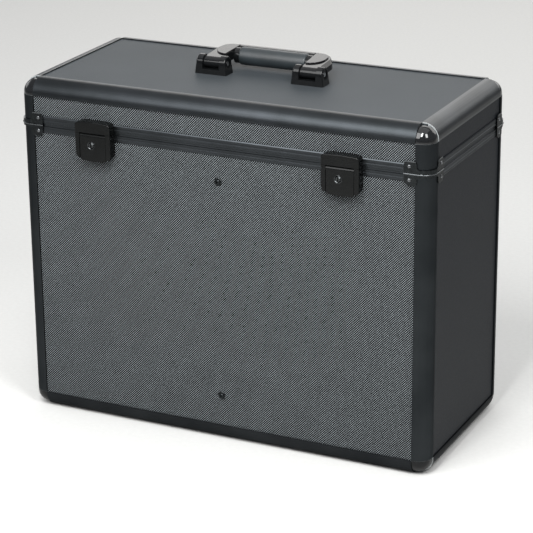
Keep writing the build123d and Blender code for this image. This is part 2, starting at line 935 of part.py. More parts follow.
def latch_side(points, x0, x1):
    """A profile of (out, w) points run along X."""
    drawn = [(front_face - out, parting_height + w) for out, w in points]
    return prism_x(outline(drawn), x0, x1)


def keeper_outline(inset):
    """Front outline of the keeper: an arched top with rounded corners."""
    half = latch_width / 2 - inset
    low = parting_height + parting_gap
    side_top = parting_height + keeper_top - keeper_arch - inset
    top = parting_height + keeper_top - inset
    arch = ThreePointArc((-half, side_top), (0, top), (half, side_top))
    sides = Polyline((half, side_top), (half, low), (-half, low), (-half, side_top))
    return make_face(arch + sides)


def make_keeper():
    front = front_face - latch_out
    shell = prism_y(keeper_outline(0), front, front_face + panel_recess)
    uprights = shell.edges().filter_by(Axis.Y).group_by(Axis.Z)[-1]
    shell = fillet(uprights, keeper_corner)
    front_edges = shell.faces().sort_by(Axis.Y)[0].edges().filter_by(
        lambda edge: edge.center().Z > parting_height + over
    )
    shell = fillet(front_edges, latch_edge_round)
    shell -= prism_y(keeper_outline(keeper_wall), front + keeper_wall, front_face + panel_recess + over)
    half = latch_width / 2 + over
    behind = -panel_recess - over
    shell -= latch_block(-half, half, behind, 0, 0, rim_height + latch_rim_gap)
    lip_out = lever_pivot_out + claw_nose + keeper_lip_gap
    half = keeper_lip_width / 2
    inside_front = latch_out - keeper_wall / 2
    shell += latch_block(-half, half, lip_out, inside_front, parting_gap, keeper_lip_height)
    for x in (-keeper_post_offset, keeper_post_offset):
        shell += latch_rod(x, 0, keeper_post_w, (0, -1, 0), keeper_post_radius, inside_front)
    return shell


def make_latch_base():
    half = latch_width / 2
    inner = half - cheek_width
    side = outline([
        (-half, parting_height - parting_gap),
        (-half, parting_height + latch_bottom),
        (half, parting_height + latch_bottom),
        (half, parting_height - parting_gap),
    ])
    base = prism_y(side, front_face - latch_out, front_face + panel_recess)
    low_corners = base.edges().filter_by(Axis.Y).group_by(Axis.Z)[0]
    base = fillet(low_corners, latch_corner_radius)
    front_edges = base.faces().sort_by(Axis.Y)[0].edges().filter_by(
        lambda edge: edge.center().Z < parting_height - over
    )
    base = fillet(front_edges, latch_edge_round)
    behind = -panel_recess - over
    base -= latch_block(-inner, inner, base_plate, latch_out + over, latch_bottom - over, over)
    base -= latch_block(-half - over, half + over, behind, 0, -rim_height - latch_rim_gap, over)
    window = claw_width / 2 + claw_window_gap
    base -= latch_block(-window, window, behind, base_plate + over, claw_window_low, over)
    base += latch_block(
        lug_reach, inner + over, lug_out, lug_out + lug_thickness,
        key_w - lug_half_height, key_w + lug_half_height,
    )
    base -= latch_rod(
        -half - over, lever_pivot_out, lever_pivot_w, (1, 0, 0), latch_pin_radius, 2 * (half + over)
    )
    return base


def claw_points():
    points = [
        (-claw_back, claw_root),
        (claw_front, claw_root),
        (claw_front, claw_nose_low),
        (claw_nose, claw_nose_low),
        (claw_nose, claw_top),
        (-claw_back, claw_top),
    ]
    return [(lever_pivot_out + out, lever_pivot_w + w) for out, w in points]


def make_flap(claw):
    half = latch_width / 2 - cheek_width - flap_gap
    front = latch_out - flap_recess
    y_front = front_face - front
    low = parting_height + flap_bottom
    top = parting_height + lever_pivot_w
    bow = ThreePointArc((-half, low), (0, low - flap_bottom_bow), (half, low))
    sides = Polyline((half, low), (half, top), (-half, top), (-half, low))
    flap = prism_y(make_face(bow + sides), y_front, y_front + flap_thickness)
    front_edges = flap.faces().sort_by(Axis.Y)[0].edges().filter_by(
        lambda edge: edge.center().Z < top - over
    )
    flap = fillet(front_edges, flap_round)
    flap += latch_rod(
        -half, lever_pivot_out, lever_pivot_w, (1, 0, 0), lever_barrel_radius, 2 * half
    )
    housing = front - flap_thickness - key_housing_out + weld
    flap += latch_rod(key_x, key_housing_out, key_w, (0, -1, 0), key_housing_radius, housing)
    flap -= latch_rod(key_x, 0, key_w, (0, -1, 0), key_radius + key_fit, latch_out + over)
    bore = latch_pin_radius + latch_pin_gap
    flap -= latch_rod(
        -half - over, lever_pivot_out, lever_pivot_w, (1, 0, 0), bore, 2 * (half + over)
    )
    return flap - claw


def make_key_cylinder():
    front = latch_out - flap_recess
    plug = latch_rod(key_x, key_cam_out, key_w, (0, -1, 0), key_radius, front - key_cam_out)
    plug += latch_rod(key_x, front, key_w, (0, -1, 0), key_flange_radius, key_flange_thickness)
    rim = plug.faces().sort_by(Axis.Y)[0].edges()
    plug = fillet(rim, key_flange_round)
    plug += latch_block(
        key_x - key_cam_width / 2, key_x + key_cam_width / 2,
        key_cam_out, key_cam_out + key_cam_thickness, key_w - key_cam_length, key_w,
    )
    face = front + key_flange_thickness
    groove = outline([
        (key_groove_inner, 0),
        (key_groove_inner, over),
        (key_groove_outer, over),
        (key_groove_outer, 0),
        ((key_groove_inner + key_groove_outer) / 2, -key_groove_depth),
    ])
    groove = revolve(Plane.XZ * groove, Axis.Z)
    centre = (key_x, front_face - face, parting_height + key_w)
    plug -= Plane(origin=centre, z_dir=(0, -1, 0)).location * groove
    plug -= latch_block(
        key_x - keyway_width / 2, key_x + keyway_width / 2, face - keyway_depth, face + over,
        key_w - keyway_length / 2, key_w + keyway_length / 2,
    )
    return plug


def make_latches():
    keeper = make_keeper() - Pos(-latch_offset, 0, 0) * drill(
        keeper_screw_places()[2:], keeper_screw_radius, keeper_screw_length
    )
    base = make_latch_base() - Pos(-latch_offset, 0, 0) * drill(
        latch_rivet_places()[2:], latch_rivet_radius, 4 * base_plate
    )
    claw = latch_side(claw_points(), -claw_width / 2, claw_width / 2)
    flap = make_flap(claw)
    plug = make_key_cylinder()
    pin_half = latch_width / 2 - latch_pin_end
    pin = latch_rod(
        -pin_half, lever_pivot_out, lever_pivot_w, (1, 0, 0), latch_pin_radius, 2 * pin_half
    )
    for name, side in (("left", -1), ("right", 1)):
        place = Pos(side * latch_offset, 0, 0)
        save(f"latch_keeper_{name}", place * keeper)
        save(f"latch_base_{name}", place * base)
        save(f"latch_flap_{name}", place * flap)
        save(f"latch_claw_{name}", place * claw)
        save(f"key_cylinder_{name}", place * plug)
    save("latch_pins", group([Pos(side * latch_offset, 0, 0) * pin for side in (-1, 1)]))


# Handle and its feet
def make_foot():
    half = foot_width / 2
    low = top_face
    deep = foot_depth / 2
    radius = foot_top_radius
    rise = math.acos(radius / math.hypot(deep, pin_height)) - math.atan2(pin_height, deep)
    arch_x = radius * math.cos(rise)
    arch_z = pin_z + radius * math.sin(rise)
    side = Polyline((-arch_x, arch_z), (-deep, low), (deep, low), (arch_x, arch_z))
    arch = ThreePointArc((arch_x, arch_z), (0, pin_z + radius), (-arch_x, arch_z))
    foot = prism_x(make_face(side + arch), -half, half)
    top = pin_z + radius
    taper = outline([
        (-half, low),
        (half, low),
        (half - foot_taper, top + over),
        (-half + foot_taper, top + over),
    ])
    foot &= prism_y(taper, -foot_depth, foot_depth)
    ends = foot.faces().sort_by(Axis.X)
    end_edges = [
        edge
        for end in (ends[0], ends[-1])
        for edge in end.edges()
        if edge.center().Z > low + over
    ]
    foot = fillet(end_edges, foot_round)
    slot = foot_slot_width / 2
    foot -= block((-slot, -foot_depth, low + foot_sill), (slot, foot_depth, top + over))
    pin_half = handle_pin_length / 2
    foot -= rod((-pin_half, 0, pin_z), (1, 0, 0), handle_pin_radius, handle_pin_length)
    for side in (-1, 1):
        start = (side * (pin_half - foot_pocket_depth), 0, pin_z)
        foot -= rod(start, (side, 0, 0), foot_pocket_radius, foot_width)
    return Pos(0, foot_y, 0) * foot


def arm_outline(outer, corner_start, corner_reach):
    """Plan of the right arm at one height, in (x, distance behind the pin)."""
    shoulder = arm_inner_back + arm_shoulder
    across = outer - shoulder
    along = spine_far - corner_start
    middle = (shoulder + across * corner_reach, corner_start + along * corner_reach)
    corner = ThreePointArc((shoulder, spine_far), middle, (outer, corner_start))
    sides = Polyline(
        (outer, corner_start),
        (outer, 0),
        (arm_inner_front, 0),
        (arm_inner_back, spine_far),
        (shoulder, spine_far),
    )
    return make_face(corner + sides)


def arm_pad():
    """The raised panel on top of the right arm."""
    edge = arm_strip_outer - arm_pad_inset
    back = spine_far - arm_pad_inset / 2
    inner = arm_inner_back + arm_pad_back_gap
    inner_front = arm_inner_front - arm_pad_front_gap
    front = ThreePointArc(
        (inner_front, arm_pad_front),
        (edge - arm_pad_curve * arc_share, arm_pad_front + arm_pad_curve * arm_pad_bulge),
        (edge, arm_pad_front + arm_pad_curve),
    )
    corner = ThreePointArc(
        (edge, back - arm_pad_corner),
        (edge - arm_pad_corner * arc_share, back - arm_pad_corner * arc_share),
        (edge - arm_pad_corner, back),
    )
    side = Line((edge, arm_pad_front + arm_pad_curve), (edge, back - arm_pad_corner))
    rest = Polyline((edge - arm_pad_corner, back), (inner, back), (inner_front, arm_pad_front))
    pad = extrude(
        Plane.XY.offset(arm_strip_height - weld) * make_face(front + side + corner + rest),
        amount=arm_pad_height + weld,
    )
    return fillet(pad.faces().sort_by(Axis.Z)[-1].edges(), arm_pad_round)


def right_arm():
    strip = arm_outline(arm_strip_outer, arm_strip_corner, arm_corner_reach)
    skirt = arm_outline(arm_skirt_outer, arm_skirt_corner, arm_corner_reach)
    slope = loft([Plane.XY.offset(arm_skirt_height) * skirt,
                  Plane.XY.offset(arm_strip_height) * strip], ruled=True)
    lower = extrude(Plane.XY.offset(arm_low) * skirt, amount=arm_skirt_height - arm_low)
    plate = slope + lower + arm_pad()
    half = foot_slot_width / 2 - barrel_side_gap
    barrel = rod((foot_offset - half, 0, 0), (1, 0, 0), barrel_radius, 2 * half)
    sill_drop = pin_height - foot_sill - heel_gap
    heel = block(
        (foot_offset - half, heel_near, -sill_drop), (foot_offset + half, heel_far, 0)
    )
    inside = foot_depth / 2 + heel_gap
    outside_slot = block(
        (foot_offset - foot_width, -foot_depth, -foot_depth),
        (foot_offset + foot_width, inside, foot_depth),
    )
    outside_slot -= block(
        (foot_offset - half, -foot_depth, -foot_depth), (foot_offset + half, inside, foot_depth)
    )
    return plate - outside_slot + barrel + heel


def make_handle():
    tilt = Pos(0, foot_y, pin_z) * Rot(handle_tilt, 0, 0)
    arm = right_arm()
    bore = handle_pin_radius + handle_pin_gap
    end = arm_inner_back + arm_shoulder / 2
    spine = block((-end, spine_near, spine_low), (end, spine_far, spine_top))
    spine = fillet(spine.edges().filter_by(Axis.X), spine_round)
    for x in (-arm_inner_back, arm_inner_back):
        spine -= block(
            (x - spine_notch / 2, spine_near - over, spine_top - spine_notch),
            (x + spine_notch / 2, spine_far + over, spine_top + over),
        )
    collar_start = grip_half_length
    collar = rod((collar_start, grip_distance, grip_rise), (1, 0, 0), collar_radius, collar_length)
    side = arm + collar
    frame = side + mirror(side, about=Plane.YZ) + spine
    frame -= rod((-case_width, 0, 0), (1, 0, 0), bore, 2 * case_width)
    save("handle_frame", tilt * frame)
    grip = rod(
        (-grip_half_length, grip_distance, grip_rise), (1, 0, 0), grip_radius, 2 * grip_half_length
    )
    grip = fillet(grip.edges().filter_by(GeomType.CIRCLE), grip_end_round)
    reach = grip_radius * 2
    grip -= block(
        (-case_width, spine_near, -reach), (case_width, spine_far + reach, reach)
    )
    save("handle_grip", tilt * grip)
    foot = make_foot()
    screw_holes = drill(foot_screw_places(), foot_screw_radius, foot_screw_length)
    pins = []
    for name, side in (("left", -1), ("right", 1)):
        save(f"handle_foot_{name}", Pos(side * foot_offset, 0, 0) * foot - screw_holes)
        start = (side * foot_offset - handle_pin_length / 2, foot_y, pin_z)
        pins.append(rod(start, (1, 0, 0), handle_pin_radius, handle_pin_length))
    save("handle_pins", group(pins))


make_edges(edge_profile())
make_caps()
make_walls()
make_brackets()
make_fasteners()
make_inside()
make_hinges()
make_latches()
make_handle()
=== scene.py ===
import bmesh
import bpy
import math
from mathutils import Matrix, Quaternion, Vector


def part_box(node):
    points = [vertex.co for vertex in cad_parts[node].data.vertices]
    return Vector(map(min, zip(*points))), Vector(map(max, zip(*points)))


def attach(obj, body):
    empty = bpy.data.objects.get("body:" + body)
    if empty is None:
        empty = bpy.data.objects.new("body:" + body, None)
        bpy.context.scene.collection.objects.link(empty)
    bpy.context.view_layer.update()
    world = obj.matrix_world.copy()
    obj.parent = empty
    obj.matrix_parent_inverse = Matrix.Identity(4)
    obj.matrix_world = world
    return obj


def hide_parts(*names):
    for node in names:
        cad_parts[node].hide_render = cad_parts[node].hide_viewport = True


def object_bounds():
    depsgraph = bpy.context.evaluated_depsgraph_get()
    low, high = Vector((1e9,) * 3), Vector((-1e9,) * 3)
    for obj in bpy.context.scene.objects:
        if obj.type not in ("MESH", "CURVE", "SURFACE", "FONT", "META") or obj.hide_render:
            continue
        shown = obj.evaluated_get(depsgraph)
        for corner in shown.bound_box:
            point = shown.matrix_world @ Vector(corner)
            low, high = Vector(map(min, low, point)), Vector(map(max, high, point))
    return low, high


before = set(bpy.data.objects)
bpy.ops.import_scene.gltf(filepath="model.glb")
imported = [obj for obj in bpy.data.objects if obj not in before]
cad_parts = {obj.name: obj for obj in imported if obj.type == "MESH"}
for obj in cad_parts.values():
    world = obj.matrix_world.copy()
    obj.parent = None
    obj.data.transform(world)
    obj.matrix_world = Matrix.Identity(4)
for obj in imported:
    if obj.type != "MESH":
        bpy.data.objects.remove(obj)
cad_low, cad_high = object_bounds()

MM = 0.001
# Sockets of a colour Mix node.
BLEND_LOW, BLEND_HIGH, BLEND_RESULT = 6, 7, 2
# Most of a noise texture's values lie between these.
CLOUD_LOW, CLOUD_HIGH = 0.3, 0.7
# Length of the steps that foam is divided into, in metres.
FOAM_STEP = 0.004


def linear(hex_colour):
    """An sRGB hex value as the linear colour that the shaders work in."""
    channels = [int(hex_colour[i:i + 2], 16) / 255 for i in (1, 3, 5)]
    values = [c / 12.92 if c <= 0.04045 else ((c + 0.055) / 1.055) ** 2.4 for c in channels]
    return (*values, 1)


def add(tree, kind, inputs=None, **settings):
    """Adds a node. Its inputs take plain values or the outputs of other nodes."""
    node = tree.nodes.new(kind)
    for name, value in settings.items():
        setattr(node, name, value)
    for socket, value in (inputs or {}).items():
        if isinstance(value, bpy.types.NodeSocket):
            tree.links.new(value, node.inputs[socket])
        else:
            node.inputs[socket].default_value = value
    return node


def start_finish(name):
    """A new empty material, and the place on the piece in millimetres."""
    material = bpy.data.materials.new(name)
    material.use_nodes = True
    tree = material.node_tree
    tree.nodes.clear()
    place = add(tree, "ShaderNodeTexCoord").outputs["Object"]
    in_mm = add(tree, "ShaderNodeVectorMath", {0: place, "Scale": 1 / MM}, operation="SCALE")
    return material, tree, in_mm.outputs["Vector"]


def patches(tree, place, size_mm, low, high, detail=2.0):
    """A value that wanders between two others over patches of a real size, or one for each axis."""
    sizes = size_mm if isinstance(size_mm, tuple) else (size_mm,) * 3
    pulled = add(tree, "ShaderNodeVectorMath", {0: place, 1: sizes}, operation="DIVIDE")
    noise = {"Vector": pulled.outputs["Vector"], "Scale": 1.0, "Detail": detail}
    cloud = add(tree, "ShaderNodeTexNoise", noise)
    spread = {
        "Value": cloud.outputs[0],
        "From Min": CLOUD_LOW,
        "From Max": CLOUD_HIGH,
        "To Min": low,
        "To Max": high,
    }
    return add(tree, "ShaderNodeMapRange", spread).outputs["Result"]


def two_tones(tree, place, dark, light, patch_mm, detail=2.0):
    """A colour that wanders between two tones over patches of a real size."""
    share = patches(tree, place, patch_mm, 0.0, 1.0, detail)
    tones = {0: share, BLEND_LOW: linear(dark), BLEND_HIGH: linear(light)}
    return add(tree, "ShaderNodeMix", tones, data_type="RGBA").outputs[BLEND_RESULT]


def shade(tree, surface, height, depth_mm):
    """Ends a material: the shader with its surface values, and a relief of a real depth."""
    relief = add(tree, "ShaderNodeBump", {"Height": height, "Distance": depth_mm * MM})
    shader = add(tree, "ShaderNodeBsdfPrincipled", {**surface, "Normal": relief.outputs["Normal"]})
    add(tree, "ShaderNodeOutputMaterial", {"Surface": shader.outputs["BSDF"]})


# Extruded aluminium, dyed black in an anodising bath: a satin metal with faint lines along its
# length from the die, drawn 2 mm wide so that they show. Where the saw cut it after the bath, the
# end shows rough, bare metal. The shine at glancing angles can be turned down to a share of full,
# which, with darker tones, paints shade on the corner and bottom edges.
def black_anodised_extrusion(name, run, dark, light, edge_shine, sawn_ends=None, sawn=None):
    material, tree, place = start_finish(name)
    line_mm = [2.0, 2.0, 2.0]
    line_mm[run] = 200.0
    lines = patches(tree, place, tuple(line_mm), 0.0, 1.0, detail=1.0)
    colour = two_tones(tree, place, dark, light, patch_mm=45.0)
    rough = patches(tree, place, tuple(line_mm), 0.34, 0.41, detail=1.0)
    if sawn_ends:
        low, high = sawn_ends
        saw_cut_mm, sawn_rough = 0.12, 0.6
        along = add(tree, "ShaderNodeSeparateXYZ", {0: place}).outputs[run]
        offset = {0: along, 1: (low + high) / 2}
        from_middle = add(tree, "ShaderNodeMath", offset, operation="SUBTRACT").outputs[0]
        distance = add(tree, "ShaderNodeMath", {0: from_middle}, operation="ABSOLUTE").outputs[0]
        at_end = {0: distance, 1: (high - low) / 2 - saw_cut_mm}
        bare = add(tree, "ShaderNodeMath", at_end, operation="GREATER_THAN").outputs[0]
        tones = {0: bare, BLEND_LOW: colour, BLEND_HIGH: linear(sawn)}
        colour = add(tree, "ShaderNodeMix", tones, data_type="RGBA").outputs[BLEND_RESULT]
        finish = {0: bare, 2: rough, 3: sawn_rough}
        rough = add(tree, "ShaderNodeMix", finish, data_type="FLOAT").outputs[0]
    surface = {
        "Base Color": colour,
        "Roughness": rough,
        "Metallic": 1.0,
        "Specular Tint": (edge_shine, edge_shine, edge_shine, 1),
    }
    shade(tree, surface, lines, depth_mm=0.004)
    return material


# Rim extrusions: the same dyed aluminium, a little lighter and smoother than the edges.
def black_anodised_rim(name, run):
    material, tree, place = start_finish(name)
    line_mm = [2.0, 2.0, 2.0]
    line_mm[run] = 160.0
    lines = patches(tree, place, tuple(line_mm), 0.0, 1.0, detail=1.0)
    surface = {
        "Base Color": two_tones(tree, place, "#36393b", "#3f4245", patch_mm=60.0),
        "Roughness": patches(tree, place, tuple(line_mm), 0.3, 0.36, detail=1.0),
        "Metallic": 1.0,
        "Specular Tint": (0.6, 0.6, 0.6, 1),
    }
    shade(tree, surface, lines, depth_mm=0.003)
    return material


# Plywood faced with a grey-blue ABS laminate, hot-rolled with small raised diamonds. Their tips
# get a pale colour as a painted highlight and the valleys a near-black one as painted shade. One
# row of ridges, the one that rises to the right, is rolled deeper. The diamonds repeat every 2.87
# mm across and up. Inside, the board has a plain dark lining.
def diamond_laminate(name, outer_mm):
    material, tree, place = start_finish(name)
    repeat_mm, laminate_mm = 2.87, 0.6
    from_middle = add(tree, "ShaderNodeSeparateXYZ", {0: place}).outputs["Y"]
    distance = add(tree, "ShaderNodeMath", {0: from_middle}, operation="ABSOLUTE").outputs[0]
    in_laminate = {0: distance, 1: outer_mm - laminate_mm}
    outside = add(tree, "ShaderNodeMath", in_laminate, operation="GREATER_THAN").outputs[0]
    ridges = []
    for direction, depth in (((1, 0, -1), 1.4), ((1, 0, 1), 0.6)):
        turn = tuple(2 * math.pi / repeat_mm * part for part in direction)
        phase = add(tree, "ShaderNodeVectorMath", {0: place, 1: turn}, operation="DOT_PRODUCT")
        wave = add(tree, "ShaderNodeMath", {0: phase.outputs["Value"]}, operation="COSINE")
        deep = add(tree, "ShaderNodeMath", {0: wave.outputs[0], 1: depth}, operation="MULTIPLY")
        ridges.append(deep.outputs[0])
    height = add(tree, "ShaderNodeMath", {0: ridges[0], 1: ridges[1]}, operation="ADD").outputs[0]
    slope_top = {"Value": height, "From Min": 1.0, "From Max": 1.5, "To Min": 0.0, "To Max": 1.0}
    tip = add(tree, "ShaderNodeMapRange", slope_top).outputs["Result"]
    # The near-black valley tone is painted shade, and the pale crown tone is a painted highlight.
    painted_shade_valley = two_tones(tree, place, "#050606", "#080909", patch_mm=30.0)
    crown = two_tones(tree, place, "#969da1", "#9ea6aa", patch_mm=30.0)
    tones = {0: tip, BLEND_LOW: painted_shade_valley, BLEND_HIGH: crown}
    diamonds = add(tree, "ShaderNodeMix", tones, data_type="RGBA").outputs[BLEND_RESULT]
    lining = two_tones(tree, place, "#191a1c", "#202123", patch_mm=30.0)
    sides = {0: outside, BLEND_LOW: lining, BLEND_HIGH: diamonds}
    colour = add(tree, "ShaderNodeMix", sides, data_type="RGBA").outputs[BLEND_RESULT]
    valley_rough, crown_rough = 0.7, 0.42
    polish = {0: tip, 2: valley_rough, 3: crown_rough}
    rough = add(tree, "ShaderNodeMix", polish, data_type="FLOAT").outputs[0]
    relief = add(tree, "ShaderNodeMath", {0: height, 1: outside}, operation="MULTIPLY").outputs[0]
    surface = {"Base Color": colour, "Roughness": rough, "Specular IOR Level": 0.15}
    shade(tree, surface, relief, depth_mm=0.12)
    return material


# Plywood faced with a plain grey laminate. Its fine sand grain, drawn 1.1 mm so that it shows,
# scatters the light into faint specks.
def sanded_laminate(name, dark, light, gloss):
    material, tree, place = start_finish(name)
    grain_mm = 1.1
    speck = patches(tree, place, grain_mm, 0.0, 1.0, detail=3.0)
    cloudy = patches(tree, place, 90.0, -0.15, 0.15, detail=3.0)
    share = add(tree, "ShaderNodeMath", {0: speck, 1: cloudy}, operation="ADD").outputs[0]
    tones = {0: share, BLEND_LOW: linear(dark), BLEND_HIGH: linear(light)}
    colour = add(tree, "ShaderNodeMix", tones, data_type="RGBA").outputs[BLEND_RESULT]
    surface = {
        "Base Color": colour,
        "Roughness": patches(tree, place, grain_mm, 0.5, 0.62, detail=3.0),
        "Specular IOR Level": gloss,
    }
    shade(tree, surface, speck, depth_mm=0.04)
    return material


# Injection-moulded ABS from a polished mould: deep black, glossy, with a moulding's faint waviness.
def moulded_abs(name, low_rough, high_rough, gloss):
    material, tree, place = start_finish(name)
    scuff_mm = 2.5
    surface = {
        "Base Color": two_tones(tree, place, "#0c0d0e", "#121314", scuff_mm, detail=3.0),
        "Roughness": patches(tree, place, scuff_mm, low_rough, high_rough, detail=3.0),
        "Specular IOR Level": gloss,
        "IOR": 1.53,
    }
    waves = patches(tree, place, 14.0, 0.0, 1.0, detail=1.0)
    shade(tree, surface, waves, depth_mm=0.03)
    return material


# Die-cast zinc under a black stoved lacquer: a smooth gloss over a slightly pebbled casting.
def black_lacquered_zinc(name):
    material, tree, place = start_finish(name)
    pebble_mm = 1.4
    pebbles = patches(tree, place, pebble_mm, 0.0, 1.0)
    surface = {
        "Base Color": two_tones(tree, place, "#050606", "#090a0a", patch_mm=18.0),
        "Roughness": patches(tree, place, pebble_mm, 0.2, 0.28),
        "Specular IOR Level": 0.18,
        "IOR": 1.5,
    }
    shade(tree, surface, pebbles, depth_mm=0.008)
    return material


# Pressed steel, blackened in an oil bath: dark metal, a little brighter where handling has worn it.
# Above a given height, and where a cut edge faces up, bright steel is painted on as a painted
# highlight.
def blackened_steel(name, painted_highlight_above=None):
    material, tree, place = start_finish(name)
    wear_mm = 3.5
    wear = patches(tree, place, wear_mm, 0.0, 1.0, detail=3.0)
    colour = two_tones(tree, place, "#262829", "#323536", wear_mm, detail=3.0)
    if painted_highlight_above is not None:
        nearly_up = 0.8
        height = add(tree, "ShaderNodeSeparateXYZ", {0: place}).outputs["Z"]
        facing = add(tree, "ShaderNodeTexCoord").outputs["Normal"]
        facing_up = add(tree, "ShaderNodeSeparateXYZ", {0: facing}).outputs["Z"]
        on_bead = {0: height, 1: painted_highlight_above}
        high = add(tree, "ShaderNodeMath", on_bead, operation="GREATER_THAN").outputs[0]
        on_top = {0: facing_up, 1: nearly_up}
        upward = add(tree, "ShaderNodeMath", on_top, operation="GREATER_THAN").outputs[0]
        painted_highlight = add(tree, "ShaderNodeMath", {0: high, 1: upward}, operation="MAXIMUM").outputs[0]
        # This bright steel tone is the painted highlight on the bead and on upward-facing edges.
        steel = two_tones(tree, place, "#5c5f61", "#696c6e", patch_mm=2.0, detail=3.0)
        tones = {0: painted_highlight, BLEND_LOW: colour, BLEND_HIGH: steel}
        colour = add(tree, "ShaderNodeMix", tones, data_type="RGBA").outputs[BLEND_RESULT]
    surface = {
        "Base Color": colour,
        "Roughness": patches(tree, place, wear_mm, 0.2, 0.32, detail=3.0),
        "Metallic": 1.0,
        "Specular Tint": (0.65, 0.65, 0.65, 1),
    }
    shade(tree, surface, wear, depth_mm=0.01)
    return material


# Steel rivets with a dull nickel plating, so their domes show against the black brackets.
def nickel_plated_rivets(name):
    material, tree, place = start_finish(name)
    cloud_mm = 1.5
    clouds = patches(tree, place, cloud_mm, 0.0, 1.0, detail=3.0)
    surface = {
        "Base Color": two_tones(tree, place, "#626466", "#747678", cloud_mm, detail=3.0),
        "Roughness": patches(tree, place, cloud_mm, 0.24, 0.34, detail=3.0),
        "Metallic": 1.0,
    }
    shade(tree, surface, clouds, depth_mm=0.005)
    return material


# Zinc-plated steel: bright and slightly cloudy.
def plated_steel(name):
    material, tree, place = start_finish(name)
    cloud_mm = 2.0
    clouds = patches(tree, place, cloud_mm, 0.0, 1.0, detail=3.0)
    surface = {
        "Base Color": two_tones(tree, place, "#a9abad", "#c4c6c8", cloud_mm, detail=3.0),
        "Roughness": patches(tree, place, cloud_mm, 0.18, 0.3, detail=3.0),
        "Metallic": 1.0,
    }
    shade(tree, surface, clouds, depth_mm=0.005)
    return material


# Black chrome on the turned key cylinders: a dark mirror that shows its edges as bright arcs.
def black_chrome(name):
    material, tree, place = start_finish(name)
    mark_mm = 0.6
    turning = patches(tree, place, mark_mm, 0.0, 1.0, detail=1.0)
    surface = {
        "Base Color": two_tones(tree, place, "#3a3c3d", "#454748", patch_mm=3.0),
        "Roughness": patches(tree, place, mark_mm, 0.12, 0.18, detail=1.0),
        "Metallic": 1.0,
    }
    shade(tree, surface, turning, depth_mm=0.004)
    return material


# Moulded rubber sleeve: dark grey-blue, satin from a spark-eroded mould. Its pores are drawn 0.7 mm
# so that they show.
def satin_rubber(name):
    material, tree, place = start_finish(name)
    pore_mm = 0.7
    pores = patches(tree, place, pore_mm, 0.0, 1.0)
    surface = {
        "Base Color": two_tones(tree, place, "#1a1f21", "#22282b", patch_mm=20.0),
        "Roughness": patches(tree, place, pore_mm, 0.38, 0.48),
        "IOR": 1.52,
    }
    shade(tree, surface, pores, depth_mm=0.02)
    return material


# Polyether foam: charcoal, with open cells about 1 mm across, drawn 1.6 mm so that they show.
def open_cell_foam(name):
    material, tree, place = start_finish(name)
    cell_mm = 1.6
    cell = {"Vector": place, "Scale": 1 / cell_mm}
    cells = add(tree, "ShaderNodeTexVoronoi", cell).outputs["Distance"]
    wall = two_tones(tree, place, "#2a2b2d", "#343639", patch_mm=25.0)
    # The near-black colour in the middle of each cell, its hollow, is painted shade.
    tones = {0: cells, BLEND_LOW: linear("#131415"), BLEND_HIGH: wall}
    colour = add(tree, "ShaderNodeMix", tones, data_type="RGBA").outputs[BLEND_RESULT]
    surface = {"Base Color": colour, "Roughness": 0.95, "Sheen Weight": 0.25}
    shade(tree, surface, cells, depth_mm=0.5)
    return material


# Seamless studio paper: matt, off-white, with fibres that are drawn coarse.
def studio_paper(name):
    material, tree, place = start_finish(name)
    fibre_mm = 6.0
    fibres = patches(tree, place, fibre_mm, 0.0, 1.0, detail=4.0)
    surface = {
        "Base Color": two_tones(tree, place, "#c6c6c4", "#cacac8", fibre_mm, detail=4.0),
        "Roughness": 0.9,
        "Specular IOR Level": 0.2,
    }
    shade(tree, surface, fibres, depth_mm=0.02)
    return material


